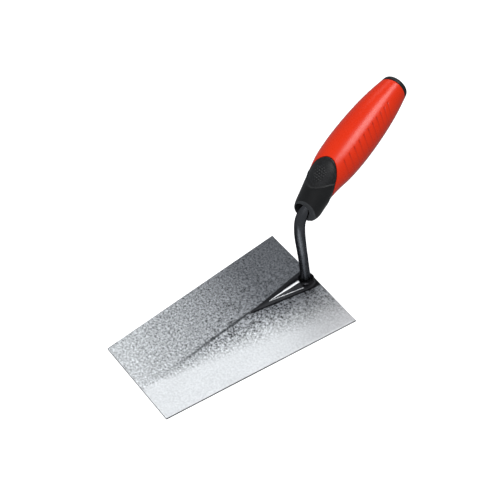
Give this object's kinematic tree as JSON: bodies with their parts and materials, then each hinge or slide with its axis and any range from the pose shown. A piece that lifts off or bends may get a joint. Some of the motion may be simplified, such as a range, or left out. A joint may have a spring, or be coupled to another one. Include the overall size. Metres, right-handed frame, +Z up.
{
  "type": "square-ended brick trowel",
  "caption": "Brick trowel with a flat square-ended blade, a gooseneck shank and a two-tone moulded handle.",
  "frame": {"origin": "bottom centre of the whole tool's box, with the blade's flat underside on the XY plane", "axes": "+Y from the blade's toe to the butt of the handle, +X the tool's right, +Z up"},
  "size_m": [0.12, 0.275, 0.1813],
  "materials": {
    "ground_steel": "ground, mottled satin",
    "forged_black": "black lacquer over forged steel, edges ground bright",
    "weld_black": "black lacquer over weld",
    "lacquered_black": "semi-gloss black lacquer",
    "core_plastic": "plain moulded",
    "grip_red": "glossy, with moulded side grooves",
    "sleeve_black": "satin soft plastic with a fine grain on the thumb pad",
    "cap_black": "satin"
  },
  "bodies": {
    "root": {"blade": "ground_steel", "foot": "forged_black", "weld_bead": "weld_black", "shank": "lacquered_black", "handle_core": "core_plastic", "grip_shell": "grip_red", "front_sleeve": "sleeve_black", "end_cap": "cap_black"}
  },
  "joints": []
}
